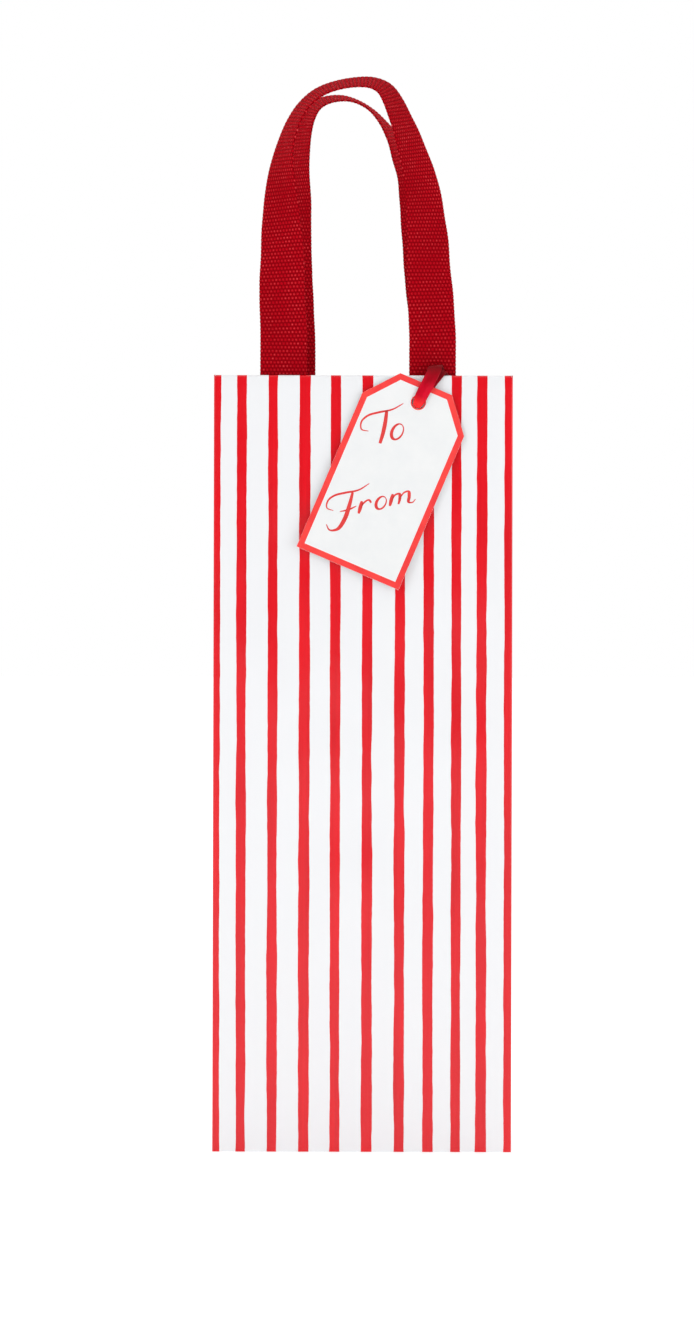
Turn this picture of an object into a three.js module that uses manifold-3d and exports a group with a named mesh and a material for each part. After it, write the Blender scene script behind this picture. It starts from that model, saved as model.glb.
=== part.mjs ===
// Paper gift bag for one bottle: creased panels, stiffening boards, two webbing handles and a tag on a ribbon.
// Millimetres, +Z up. The front faces -Y and the origin is the centre of the underside.
import * as THREE from "three";
import { mergeVertices } from "three/addons/utils/BufferGeometryUtils.js";
import Module from "manifold-3d";

const wasm = await Module();
wasm.setup();

// Overall size.
const WIDTH = 127;
const DEPTH = 88;
const HEIGHT = 330;

// Sheet thicknesses.
const PAPER = 0.45;
const BOARD = 0.9;
const BASE_CARD = 1.2;
const GLUE = 0.1;
const CREASE_GAP = 0.15;

// Creases.
const CREASE_Z = 0.95;
const HALF_INSIDE = DEPTH / 2 - PAPER;
const FOOT_TOP = CREASE_Z + HALF_INSIDE;
const BACK_FOLD = 25.4;

// Folded-in top edge and its stiffening boards.
const HEM_HEIGHT = 40;
const BOARD_HALF_WIDTH = 55;
const HEM_HALF_WIDTH = 56;
const SIDE_HEM_START = 6;
const SIDE_HEM_GAP = 1.2;
const HEEL_TIP_GAP = 2.2;
const SEAM_MARGIN_LOW = 3;
const SEAM_MARGIN_HIGH = 4;
const HEM_OVERLAP = 2;

// Webbing handles.
const STRAP_WIDTH = 20;
const STRAP_THICK = 1.3;
const STRAP_END_LOW = 290;
const STRAP_BEND = 340;
const STRAP_JOIN_GAP = 0.3;
const STRAP_LIFT = 0.15;
const STRAP_STEPS = 64;
const STRAP_BEVEL = 0.4;
const PATCH_WIDTH = 28;
const PATCH_HEIGHT = 35;
const PATCH_LOW = 286;

// Gift tag and its ribbon.
const TAG_WIDTH = 47;
const TAG_LENGTH = 85;
const TAG_CORNER_X = 11.6;
const TAG_CORNER_Z = 14;
const TAG_THICK = 0.6;
const TAG_TILT = THREE.MathUtils.degToRad(23);
const TAG_HOLE_X = 23.3;
const TAG_HOLE_Z = 318.3;
const TAG_HOLE_RADIUS = 2.75;
const TAG_HOLE_DROP = 8.5;
const TAG_Y = -45.7;
const RIBBON_WIDTH = 6;
const RIBBON_THICK = 0.4;
const RIBBON_TOP_X = 30.5;
const RIBBON_TOP_Z = 331.5;
const RIBBON_END_LOW = 296;
const RIBBON_NECK = 1.2;
const RIBBON_OVERRUN = 1.4;
const RIBBON_CLEARANCE = 0.2;

// The centre line of each handle's loop: x, z and how far the webbing has turned edge-on, in degrees.
const FRONT_HANDLE_LINE = [
  [-34, 340, 0],
  [-34, 347, 2],
  [-34.3, 360, 10],
  [-34.8, 379, 20],
  [-35.3, 396, 35],
  [-35.5, 408, 47],
  [-34.9, 418, 58],
  [-33.2, 428.5, 67],
  [-30, 438, 70],
  [-25.6, 445.2, 71],
  [-19.5, 450.5, 71],
  [-10.5, 454, 71],
  [-2, 455.2, 70],
  [4, 454.6, 68],
  [8.8, 452.2, 65],
  [12.8, 446.8, 62],
  [16.5, 438, 58],
  [20.2, 428, 52],
  [23.5, 416, 45],
  [25.7, 404, 38],
  [27.2, 389, 29],
  [28.1, 371, 18],
  [29, 354, 7],
  [29.4, 346, 1],
  [29.4, 340, 0],
];
const BACK_HANDLE_LINE = [
  [-31.1, 340, 0],
  [-31.1, 347, 1],
  [-31.4, 360, 6],
  [-32, 380, 17],
  [-31.9, 395, 27],
  [-31.2, 408, 38],
  [-30.3, 422, 50],
  [-29.1, 434, 59],
  [-27.7, 443, 63],
  [-25.4, 451, 66],
  [-22, 456.4, 69],
  [-17, 459.4, 72],
  [-10, 460.5, 75],
  [-3, 459.1, 79],
  [3.6, 455.4, 80],
  [8.8, 449.9, 77],
  [13.2, 442.6, 70],
  [17.3, 434, 61],
  [21, 425.5, 52],
  [23.7, 415, 42],
  [25.7, 402, 32],
  [27.6, 386, 20],
  [29.9, 366, 9],
  [30.9, 352, 3],
  [31, 346, 1],
  [31, 340, 0],
];

const part = new THREE.Group();
part.name = "wine_gift_bag";

const PAPER_PRINT = "#f1f3f4";
const PAPER_PLAIN = "#f7f6f2";
const CARD_GREY = "#cfc9bd";
const WEBBING = "#a80a1c";
const TAG_CARD = "#f6f4f2";
const SATIN = "#b8122a";

// One named piece in its own material.
function addPiece(name, geometry, colour, roughness) {
  const material = new THREE.MeshStandardMaterial({ color: colour, roughness });
  const mesh = new THREE.Mesh(geometry, material);
  mesh.name = name;
  part.add(mesh);
}

// A flat sheet cut to an outline, in its own plane, from 0 to thickness.
function sheet(outline, thickness) {
  const shape = new THREE.Shape(outline.map(([u, v]) => new THREE.Vector2(u, v)));
  return new THREE.ExtrudeGeometry(shape, { depth: thickness, bevelEnabled: false });
}

// A sheet that faces the front: outline in x and z, thickness forwards from rearY.
function faceSheet(outline, rearY, thickness) {
  const basis = new THREE.Matrix4().makeBasis(
    new THREE.Vector3(1, 0, 0),
    new THREE.Vector3(0, 0, 1),
    new THREE.Vector3(0, -1, 0),
  );
  return sheet(outline, thickness).applyMatrix4(basis).translate(0, rearY, 0);
}

// A sheet that faces sideways: outline in y and z, thickness towards +X from lowX.
function sideSheet(outline, lowX, thickness) {
  const basis = new THREE.Matrix4().makeBasis(
    new THREE.Vector3(0, 1, 0),
    new THREE.Vector3(0, 0, 1),
    new THREE.Vector3(1, 0, 0),
  );
  return sheet(outline, thickness).applyMatrix4(basis).translate(lowX, 0, 0);
}

// A sheet that lies flat: outline in x and y, thickness upwards from lowZ.
function floorSheet(outline, lowZ, thickness) {
  return sheet(outline, thickness).translate(0, 0, lowZ);
}

function rectangle(lowU, highU, lowV, highV) {
  return [
    [lowU, lowV],
    [highU, lowV],
    [highU, highV],
    [lowU, highV],
  ];
}

// Several closed geometries joined into one closed body.
function joined(geometries) {
  let whole = null;
  for (const geometry of geometries) {
    const bare = new THREE.BufferGeometry();
    bare.setAttribute("position", geometry.getAttribute("position"));
    if (geometry.index) {
      bare.setIndex(geometry.index);
    }
    const welded = mergeVertices(bare, 1e-4);
    const solid = new wasm.Manifold(
      new wasm.Mesh({
        numProp: 3,
        vertProperties: new Float32Array(welded.attributes.position.array),
        triVerts: new Uint32Array(welded.index.array),
      }),
    );
    whole = whole ? whole.add(solid) : solid;
  }
  const mesh = whole.getMesh();
  const geometry = new THREE.BufferGeometry();
  geometry.setAttribute("position", new THREE.BufferAttribute(mesh.vertProperties, 3));
  geometry.setIndex(new THREE.BufferAttribute(mesh.triVerts, 1));
  geometry.computeVertexNormals();
  return geometry;
}

// Front and back panels, their boards, their hems and the handle's two glued ends.
// side is -1 at the front and 1 at the back.
function addFace(word, side, lowZ, handleLine) {
  const outer = (side * DEPTH) / 2;
  const rearOf = (near, thickness) => (side < 0 ? near + thickness : near);
  const half = WIDTH / 2;
  addPiece(
    word + "_panel",
    faceSheet(rectangle(-half, half, lowZ, HEIGHT), rearOf(outer, PAPER), PAPER),
    PAPER_PRINT,
    0.3,
  );
  let depth = PAPER + GLUE;
  const place = (outline, thickness) => {
    const near = outer - side * depth;
    depth += thickness + GLUE;
    return faceSheet(outline, rearOf(near, thickness), thickness);
  };
  const top = HEIGHT - PAPER - GLUE;
  const bottom = HEIGHT - HEM_HEIGHT;
  addPiece(
    word + "_top_board",
    place(rectangle(-BOARD_HALF_WIDTH, BOARD_HALF_WIDTH, bottom, top), BOARD),
    CARD_GREY,
    0.9,
  );
  addPiece(
    word + "_hem",
    place(rectangle(-HEM_HALF_WIDTH, HEM_HALF_WIDTH, bottom - HEM_OVERLAP, HEIGHT), PAPER),
    PAPER_PLAIN,
    0.7,
  );
  depth += 2 * RIBBON_THICK + GLUE;
  const strapDepth = depth;
  depth += STRAP_THICK + GLUE;
  const patchDepth = depth;
  for (const [hand, x] of [
    ["left", handleLine[0][0]],
    ["right", handleLine[handleLine.length - 1][0]],
  ]) {
    const reach = STRAP_WIDTH / 2;
    addPiece(
      word + "_" + hand + "_strap_end",
      faceSheet(
        rectangle(x - reach, x + reach, STRAP_END_LOW, STRAP_BEND - STRAP_JOIN_GAP),
        rearOf(outer - side * strapDepth, STRAP_THICK),
        STRAP_THICK,
      ),
      WEBBING,
      0.8,
    );
    addPiece(
      word + "_" + hand + "_strap_patch",
      faceSheet(
        rectangle(x - PATCH_WIDTH / 2, x + PATCH_WIDTH / 2, PATCH_LOW, PATCH_LOW + PATCH_HEIGHT),
        rearOf(outer - side * patchDepth, PAPER),
        PAPER,
      ),
      PAPER_PLAIN,
      0.7,
    );
  }
  return outer - side * (strapDepth + STRAP_THICK / 2);
}

// One gusset: two half panels that meet at the centre crease, their hems, and the folding foot below.
function addGusset(word, side) {
  const lowX = side < 0 ? -WIDTH / 2 : WIDTH / 2 - PAPER;
  const hemX = side < 0 ? -WIDTH / 2 + PAPER + GLUE : WIDTH / 2 - 2 * PAPER - GLUE;
  const corner = HALF_INSIDE - CREASE_GAP;
  const slant = CREASE_GAP * Math.SQRT2;
  const frontHalf = [
    [-corner, CREASE_Z + CREASE_GAP + slant],
    [-CREASE_GAP, FOOT_TOP - CREASE_GAP + slant],
    [-CREASE_GAP, HEIGHT],
    [-corner, HEIGHT],
  ];
  addPiece(word + "_gusset_front_half", sideSheet(frontHalf, lowX, PAPER), PAPER_PRINT, 0.3);
  addPiece(
    word + "_gusset_back_half",
    sideSheet(rectangle(CREASE_GAP, corner, FOOT_TOP + CREASE_GAP, HEIGHT), lowX, PAPER),
    PAPER_PRINT,
    0.3,
  );
  for (const [end, sign] of [
    ["front", -1],
    ["back", 1],
  ]) {
    const span = [sign * (corner - SIDE_HEM_START), sign * SIDE_HEM_GAP].sort((a, b) => a - b);
    addPiece(
      word + "_gusset_" + end + "_hem",
      sideSheet(rectangle(span[0], span[1], HEIGHT - HEM_HEIGHT, HEIGHT), hemX, PAPER),
      PAPER_PLAIN,
      0.7,
    );
  }
  // The foot triangle stands on the side edge of the base and folds in over it.
  const footBase = CREASE_Z + CREASE_GAP;
  const run = HALF_INSIDE - 2 * slant - CREASE_GAP;
  addPiece(
    word + "_foot_triangle",
    sideSheet(
      [
        [-run, footBase],
        [run, footBase],
        [0, footBase + run],
      ],
      lowX,
      PAPER,
    ),
    PAPER_PRINT,
    0.3,
  );
  // The heel is the gusset's lower back corner, split by the crease that runs on from the back panel.
  const fold = CREASE_Z + BACK_FOLD;
  const rise = (FOOT_TOP - fold) / HALF_INSIDE;
  const lineAt = (y) => FOOT_TOP - rise * y;
  addPiece(
    word + "_heel_lower",
    sideSheet(
      [
        [corner, CREASE_Z + CREASE_GAP + 2 * slant],
        [corner, lineAt(corner) - CREASE_GAP],
        [HEEL_TIP_GAP, lineAt(HEEL_TIP_GAP) - CREASE_GAP],
        [HEEL_TIP_GAP, FOOT_TOP - HEEL_TIP_GAP + slant],
      ],
      lowX,
      PAPER,
    ),
    PAPER_PRINT,
    0.3,
  );
  addPiece(
    word + "_heel_upper",
    sideSheet(
      [
        [corner, lineAt(corner) + CREASE_GAP],
        [corner, FOOT_TOP - CREASE_GAP],
        [HEEL_TIP_GAP, FOOT_TOP - CREASE_GAP],
        [HEEL_TIP_GAP, lineAt(HEEL_TIP_GAP) + CREASE_GAP],
      ],
      lowX,
      PAPER,
    ),
    PAPER_PRINT,
    0.3,
  );
}

// The back panel's foot: two strips below the back panel that buckle inwards as the bag folds.
function addBackFoot() {
  const half = WIDTH / 2;
  const fold = CREASE_Z + BACK_FOLD;
  addPiece(
    "back_foot_lower",
    faceSheet(
      rectangle(-half, half, CREASE_Z + CREASE_GAP, fold - CREASE_GAP),
      DEPTH / 2,
      PAPER,
    ),
    PAPER_PRINT,
    0.3,
  );
  addPiece(
    "back_foot_upper",
    faceSheet(
      rectangle(-half, half, fold + CREASE_GAP, FOOT_TOP - CREASE_GAP),
      DEPTH / 2,
      PAPER,
    ),
    PAPER_PRINT,
    0.3,
  );
}

// The base: two wide flaps that overlap, two dust flaps folded in from the gussets, and a loose card.
function addBase() {
  const half = WIDTH / 2 - PAPER - CREASE_GAP;
  const overlap = 8;
  addPiece(
    "base_back_flap",
    floorSheet(rectangle(-half, half, -overlap, HALF_INSIDE - CREASE_GAP), 0, PAPER),
    PAPER_PRINT,
    0.3,
  );
  addPiece(
    "base_front_flap",
    floorSheet(
      rectangle(-half, half, -HALF_INSIDE + 2 * CREASE_GAP, overlap),
      PAPER + GLUE / 2,
      PAPER,
    ),
    PAPER_PRINT,
    0.3,
  );
  const dustLow = 2 * PAPER + GLUE;
  const dustReach = 44;
  const dustInset = 1.8;
  const dustEdge = HALF_INSIDE - 1;
  const dustTaper = 10;
  for (const [word, side] of [
    ["left", -1],
    ["right", 1],
  ]) {
    const outerX = side * (WIDTH / 2 - PAPER - dustInset);
    const innerX = side * (WIDTH / 2 - dustReach);
    const outline = [
      [outerX, -dustEdge],
      [innerX, -dustEdge + dustTaper],
      [innerX, dustEdge - dustTaper],
      [outerX, dustEdge],
    ];
    addPiece("base_" + word + "_dust_flap", floorSheet(outline, dustLow, PAPER), PAPER_PLAIN, 0.7);
  }
  const cardInsetX = 5;
  const cardInsetY = 2.8;
  const cardHalf = WIDTH / 2 - PAPER - cardInsetX;
  addPiece(
    "base_card",
    floorSheet(
      rectangle(-cardHalf, cardHalf, -HALF_INSIDE + cardInsetY, HALF_INSIDE - cardInsetY),
      dustLow + PAPER + GLUE / 2,
      BASE_CARD,
    ),
    CARD_GREY,
    0.9,
  );
}

// The side seam: the glued flap where the wrapper's two ends meet, inside the back panel's left edge.
function addSideSeam() {
  const left = -WIDTH / 2 + PAPER + 3;
  const seamWidth = 12;
  addPiece(
    "side_seam_flap",
    faceSheet(
      rectangle(left, left + seamWidth, FOOT_TOP + SEAM_MARGIN_LOW, HEIGHT - HEM_HEIGHT - SEAM_MARGIN_HIGH),
      HALF_INSIDE - GLUE,
      PAPER,
    ),
    PAPER_PLAIN,
    0.7,
  );
}

// A webbing loop. The inner edge of each leg turns forwards, so the outside of the arch faces up.
function handleLoop(centreY, handleLine) {
  const points = handleLine.map(([x, z]) => new THREE.Vector3(x, centreY, z));
  points[0].z += STRAP_LIFT;
  points[points.length - 1].z += STRAP_LIFT;
  const line = new THREE.CatmullRomCurve3(points, false, "centripetal");
  const turns = handleLine.map(([, , turn]) => THREE.MathUtils.degToRad(turn));
  const halfW = STRAP_WIDTH / 2;
  const halfT = STRAP_THICK / 2;
  const section = new THREE.Shape(
    [
      [-halfW, -halfT + STRAP_BEVEL],
      [-halfW + STRAP_BEVEL, -halfT],
      [halfW - STRAP_BEVEL, -halfT],
      [halfW, -halfT + STRAP_BEVEL],
      [halfW, halfT - STRAP_BEVEL],
      [halfW - STRAP_BEVEL, halfT],
      [-halfW + STRAP_BEVEL, halfT],
      [-halfW, halfT - STRAP_BEVEL],
    ].map(([u, v]) => new THREE.Vector2(u, v)),
  );
  const straight = mergeVertices(
    new THREE.ExtrudeGeometry(section, {
      depth: 1,
      steps: STRAP_STEPS,
      bevelEnabled: false,
    }).deleteAttribute("normal").deleteAttribute("uv"),
    1e-5,
  );
  const spots = straight.getAttribute("position");
  const across = new THREE.Vector3(0, 1, 0);
  for (let i = 0; i < spots.count; i += 1) {
    const t = THREE.MathUtils.clamp(spots.getZ(i), 0, 1);
    const place = line.getPoint(t);
    const along = line.getTangent(t);
    along.y = 0;
    along.normalize();
    const scaled = t * (turns.length - 1);
    const step = Math.min(Math.floor(scaled), turns.length - 2);
    const turn = THREE.MathUtils.lerp(turns[step], turns[step + 1], scaled - step);
    const inward = new THREE.Vector3().crossVectors(across, along);
    const wide = inward
      .clone()
      .multiplyScalar(Math.cos(turn))
      .addScaledVector(across, -Math.sin(turn));
    const out = new THREE.Vector3().crossVectors(along, wide);
    const spot = place.addScaledVector(wide, spots.getX(i)).addScaledVector(out, spots.getY(i));
    spots.setXYZ(i, spot.x, spot.y, spot.z);
  }
  straight.computeVertexNormals();
  return straight;
}

// The tag: a card with its two top corners cut and a hole for the ribbon.
function addTag() {
  const half = TAG_WIDTH / 2;
  const top = TAG_HOLE_DROP;
  const bottom = top - TAG_LENGTH;
  const outline = [
    [-half, bottom],
    [half, bottom],
    [half, top - TAG_CORNER_Z],
    [half - TAG_CORNER_X, top],
    [-half + TAG_CORNER_X, top],
    [-half, top - TAG_CORNER_Z],
  ];
  const shape = new THREE.Shape(outline.map(([u, v]) => new THREE.Vector2(u, v)));
  const hole = new THREE.Path();
  hole.absarc(0, 0, TAG_HOLE_RADIUS, 0, 2 * Math.PI, true);
  shape.holes.push(hole);
  const card = new THREE.ExtrudeGeometry(shape, {
    depth: TAG_THICK,
    bevelEnabled: false,
    curveSegments: 24,
  });
  card.rotateX(Math.PI / 2);
  card.translate(0, TAG_THICK, 0);
  card.rotateY(TAG_TILT);
  card.translate(TAG_HOLE_X, TAG_Y, TAG_HOLE_Z);
  addPiece("tag_card", card, TAG_CARD, 0.5);
}

// The ribbon: a band from the mouth to the tag's hole in front of the tag and behind it, and its glued end.
function addRibbon() {
  const frontY = TAG_Y - 2 * RIBBON_THICK;
  const rearY = TAG_Y + TAG_THICK + RIBBON_THICK / 2;
  const dx = TAG_HOLE_X - RIBBON_TOP_X;
  const dz = TAG_HOLE_Z - RIBBON_TOP_Z;
  const run = Math.hypot(dx, dz);
  const lean = Math.atan2(-dx, -dz);
  const half = RIBBON_WIDTH / 2;
  const band = (y, thickness) => {
    const box = new THREE.BoxGeometry(RIBBON_WIDTH, thickness, run + RIBBON_OVERRUN);
    return box.translate(0, y + thickness / 2, -(run + RIBBON_OVERRUN) / 2);
  };
  const front = band(frontY, RIBBON_THICK);
  const rear = band(rearY, RIBBON_THICK);
  const topDepth = rearY + RIBBON_THICK - frontY;
  const top = new THREE.BoxGeometry(RIBBON_WIDTH, topDepth, RIBBON_THICK);
  top.translate(0, frontY + topDepth / 2, -RIBBON_THICK / 2);
  const neck = new THREE.BoxGeometry(half, topDepth, RIBBON_NECK);
  neck.translate(0, frontY + topDepth / 2, -run);
  const loop = joined([front, rear, top, neck]);
  loop.rotateY(lean);
  loop.translate(RIBBON_TOP_X, 0, RIBBON_TOP_Z);
  addPiece("tag_ribbon", loop, SATIN, 0.35);

  const endX = RIBBON_TOP_X + 1;
  const insideY = -DEPTH / 2 + 2 * PAPER + BOARD + 3 * GLUE;
  const endThick = 2 * RIBBON_THICK;
  const endTop = RIBBON_TOP_Z + RIBBON_CLEARANCE;
  const hanging = new THREE.BoxGeometry(RIBBON_WIDTH, endThick, endTop - RIBBON_END_LOW);
  hanging.translate(endX, insideY + endThick / 2, (endTop + RIBBON_END_LOW) / 2);
  const overLow = endTop - RIBBON_THICK;
  const overFront = -DEPTH / 2 + RIBBON_CLEARANCE;
  const over = new THREE.BoxGeometry(RIBBON_WIDTH, insideY + endThick - overFront, RIBBON_THICK);
  over.translate(endX, (insideY + endThick + overFront) / 2, overLow + RIBBON_THICK / 2);
  addPiece("tag_ribbon_end", joined([hanging, over]), SATIN, 0.35);
}

const frontStrapY = addFace("front", -1, 0, FRONT_HANDLE_LINE);
const backStrapY = addFace("back", 1, FOOT_TOP + CREASE_GAP, BACK_HANDLE_LINE);
addGusset("left", -1);
addGusset("right", 1);
addBackFoot();
addBase();
addSideSeam();
addPiece("front_handle_loop", handleLoop(frontStrapY, FRONT_HANDLE_LINE), WEBBING, 0.8);
addPiece("back_handle_loop", handleLoop(backStrapY, BACK_HANDLE_LINE), WEBBING, 0.8);
addTag();
addRibbon();

export default part;
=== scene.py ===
import math

import bmesh
import bpy
import numpy as np
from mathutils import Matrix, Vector, noise


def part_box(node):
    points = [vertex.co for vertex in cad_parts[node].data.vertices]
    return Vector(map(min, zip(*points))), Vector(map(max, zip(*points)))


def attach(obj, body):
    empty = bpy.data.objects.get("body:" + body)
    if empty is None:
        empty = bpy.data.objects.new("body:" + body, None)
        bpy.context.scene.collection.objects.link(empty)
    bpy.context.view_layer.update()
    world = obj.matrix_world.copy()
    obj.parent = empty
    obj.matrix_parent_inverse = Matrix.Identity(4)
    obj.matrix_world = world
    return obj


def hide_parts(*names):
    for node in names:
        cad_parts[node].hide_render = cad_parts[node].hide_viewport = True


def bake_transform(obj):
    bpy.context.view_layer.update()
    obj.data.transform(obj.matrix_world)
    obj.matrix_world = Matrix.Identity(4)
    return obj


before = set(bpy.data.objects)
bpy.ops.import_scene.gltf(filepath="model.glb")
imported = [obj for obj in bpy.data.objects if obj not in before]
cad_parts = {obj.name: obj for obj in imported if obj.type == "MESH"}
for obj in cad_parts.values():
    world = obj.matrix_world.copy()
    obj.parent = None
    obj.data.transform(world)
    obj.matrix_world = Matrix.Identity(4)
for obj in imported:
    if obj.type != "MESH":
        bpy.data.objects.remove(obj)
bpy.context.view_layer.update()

MM = 0.001
scene = bpy.context.scene

# ---------------------------------------------------------------- camera
CAMERA_PLACE = (-0.0067, -1.599, 0.2094)
CAMERA_TILT = 90
CAMERA_ROLL = -0.14
cam_data = bpy.data.cameras.new("camera")
cam_data.lens = 100
cam_data.sensor_fit = "VERTICAL"
cam_data.sensor_height = 36
cam_data.clip_end = 60
cam = bpy.data.objects.new("camera", cam_data)
scene.collection.objects.link(cam)
cam.location = CAMERA_PLACE
cam.rotation_euler = (math.radians(CAMERA_TILT), math.radians(CAMERA_ROLL), 0)
scene.camera = cam
scene.view_settings.view_transform = "Standard"
scene.view_settings.look = "None"

# ---------------------------------------------------------------- sizes, in mm
CREASE_SLIT = 0.15
CREASE_Z = 0.95
CORNER = 0.75

lo_front, hi_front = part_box("front_panel")
lo_back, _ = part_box("back_panel")
lo_hem, hi_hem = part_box("front_hem")
lo_side_hem, hi_side_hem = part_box("left_gusset_front_hem")
HALF_W = hi_front[0] / MM
HALF_D = -lo_front[1] / MM
HEIGHT = hi_front[2] / MM
PAPER = (hi_front[1] - lo_front[1]) / MM
REACH = HALF_D - CORNER
FOOT_TOP = lo_back[2] / MM - CREASE_SLIT
BACK_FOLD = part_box("back_foot_lower")[1][2] / MM + CREASE_SLIT

# The folded-in hem's lower edge, how far in its inner face lies, and how far it runs to each side.
HEM_LOW = lo_hem[2] / MM
front_hem_depth, side_hem_depth = HALF_D + hi_hem[1] / MM, HALF_W + hi_side_hem[0] / MM
front_hem_reach, side_hem_reach = hi_hem[0] / MM, -lo_side_hem[1] / MM
HEM_DEPTH = {
    "front": front_hem_depth, "back": front_hem_depth, "left": side_hem_depth, "right": side_hem_depth,
}
HEM_REACH = {
    "front": front_hem_reach, "back": front_hem_reach, "left": side_hem_reach, "right": side_hem_reach,
}


# ---------------------------------------------------------------- node helpers
class Nodes:
    """Short names for building one material's node tree."""

    def __init__(self, name):
        self.mat = bpy.data.materials.new(name)
        self.mat.use_nodes = True
        self.tree = self.mat.node_tree
        self.tree.nodes.clear()
        out = self.tree.nodes.new("ShaderNodeOutputMaterial")
        self.shader = self.tree.nodes.new("ShaderNodeBsdfPrincipled")
        self.link(self.shader.outputs[0], out.inputs[0])

    def link(self, a, b):
        self.tree.links.new(a, b)

    def drive(self, socket, source):
        self.link(source, self.shader.inputs[socket])

    def set(self, **values):
        for key, value in values.items():
            self.shader.inputs[key.replace("_", " ")].default_value = value

    def node(self, kind, **props):
        n = self.tree.nodes.new(kind)
        for key, value in props.items():
            setattr(n, key, value)
        return n

    def math(self, op, *values):
        n = self.node("ShaderNodeMath", operation=op)
        for socket, value in zip(n.inputs, values):
            if isinstance(value, (int, float)):
                socket.default_value = value
            else:
                self.link(value, socket)
        return n.outputs[0]

    def noise(self, waves, detail, rough, uv=False):
        """Noise with this many waves a metre along each axis, of the object or of its UV map."""
        if uv:
            source = self.node("ShaderNodeUVMap", uv_map="UVMap").outputs[0]
        else:
            source = self.node("ShaderNodeTexCoord").outputs["Object"]
        place = self.node("ShaderNodeMapping")
        place.inputs["Scale"].default_value = waves
        self.link(source, place.inputs[0])
        n = self.node("ShaderNodeTexNoise")
        n.inputs["Scale"].default_value = 1.0
        n.inputs["Detail"].default_value = detail
        n.inputs["Roughness"].default_value = rough
        self.link(place.outputs[0], n.inputs["Vector"])
        return n.outputs[0]

    def mix(self, factor, a, b):
        n = self.node("ShaderNodeMix", data_type="RGBA")
        for socket, value in ((n.inputs[0], factor), (n.inputs[6], a), (n.inputs[7], b)):
            if isinstance(value, (int, float)):
                socket.default_value = value
            elif isinstance(value, tuple):
                socket.default_value = (*value, 1)
            else:
                self.link(value, socket)
        return n.outputs[2]

    def ramp(self, factor, start, stop, low=0.0, high=1.0):
        """From low at start to high at stop, in a straight line."""
        n = self.node("ShaderNodeValToRGB")
        for element, position, value in zip(n.color_ramp.elements, (start, stop), (low, high)):
            element.position = position
            element.color = (value, value, value, 1)
        self.link(factor, n.inputs[0])
        return n.outputs[0]

    def bump(self, height, distance, strength, after=None):
        n = self.node("ShaderNodeBump")
        n.inputs["Strength"].default_value = strength
        n.inputs["Distance"].default_value = distance
        self.link(height, n.inputs["Height"])
        if after is not None:
            self.link(after, n.inputs["Normal"])
        return n.outputs[0]


# ---------------------------------------------------------------- materials
RED_INK = (0.80, 0.0015, 0.010)
RED_INK_DEEP = (0.67, 0.001, 0.008)
PAPER_WHITE = (0.835, 0.85, 0.87)
PAPER_WHITE_WARM = (0.855, 0.86, 0.875)

# How far a painted stripe strays sideways, in short and long waves, and how much it swells, in mm.
STRAY_SHORT = 0.7
STRAY_LONG = 0.5
SWELL = 1.1

# Heights of the coated paper's dents, ink film and fibres, in metres.
DENT = 0.0009
INK_FILM = 0.00002
FIBRE = 0.00003


def striped_paper(name, axis, stripes):
    """Coated white paper with hand-painted red stripes: (centre, width) in mm along one axis."""
    m = Nodes(name)
    parts = m.node("ShaderNodeSeparateXYZ")
    m.link(m.node("ShaderNodeTexCoord").outputs["Object"], parts.inputs[0])
    short = m.math("MULTIPLY", m.noise((230, 230, 85), 3.0, 0.6), STRAY_SHORT)
    long = m.math("MULTIPLY", m.noise((34, 34, 9), 1.0, 0.4), STRAY_LONG)
    stray = m.math("SUBTRACT", m.math("ADD", short, long), (STRAY_SHORT + STRAY_LONG) / 2)
    place = m.math("ADD", m.math("MULTIPLY", parts.outputs[axis], 1 / MM), stray)
    swell = m.math("SUBTRACT", m.noise((80, 80, 26), 2.0, 0.5), 0.5)
    ink = None
    for centre, width in stripes:
        band = m.math("COMPARE", place, centre, m.math("MULTIPLY_ADD", swell, SWELL, width / 2))
        ink = band if ink is None else m.math("MAXIMUM", ink, band)
    streak = m.math("MULTIPLY", m.noise((900, 900, 14), 3.0, 0.6), 0.55)
    cloud = m.math("MULTIPLY", m.noise((60, 60, 22), 2.0, 0.5), 0.45)
    red = m.mix(m.ramp(m.math("ADD", streak, cloud), 0.36, 0.66), RED_INK, RED_INK_DEEP)
    white = m.mix(m.noise((45, 45, 45), 3.0, 0.6), PAPER_WHITE, PAPER_WHITE_WARM)
    m.drive("Base Color", m.mix(ink, white, red))
    m.drive("Roughness", m.math("MULTIPLY_ADD", m.noise((90, 90, 40), 3.0, 0.6), 0.10, 0.13))
    dents = m.bump(m.noise((26, 26, 14), 1.0, 0.4), DENT, 0.22)
    film = m.bump(ink, INK_FILM, 0.5, dents)
    m.drive("Normal", m.bump(m.noise((1400, 1400, 700), 3.0, 0.65), FIBRE, 0.2, film))
    m.set(Specular_IOR_Level=0.5)
    return m.mat


def plain_paper(name, colour, colour2, roughness, grain=1.0):
    """Uncoated paper or grey board, with fibres and faint blotches."""
    m = Nodes(name)
    speck = m.noise((1600, 1600, 1600), 2.0, 0.7)
    blotch = m.math("MULTIPLY", m.noise((70, 70, 70), 4.0, 0.65), 0.6)
    tone = m.math("ADD", blotch, m.math("MULTIPLY", speck, 0.4))
    m.drive("Base Color", m.mix(m.ramp(tone, 0.35, 0.65), colour, colour2))
    m.drive("Roughness", m.math("MULTIPLY_ADD", speck, 0.1, roughness))
    m.drive("Normal", m.bump(speck, 0.00005 * grain, 0.6))
    m.set(Specular_IOR_Level=0.3)
    return m.mat


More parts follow.
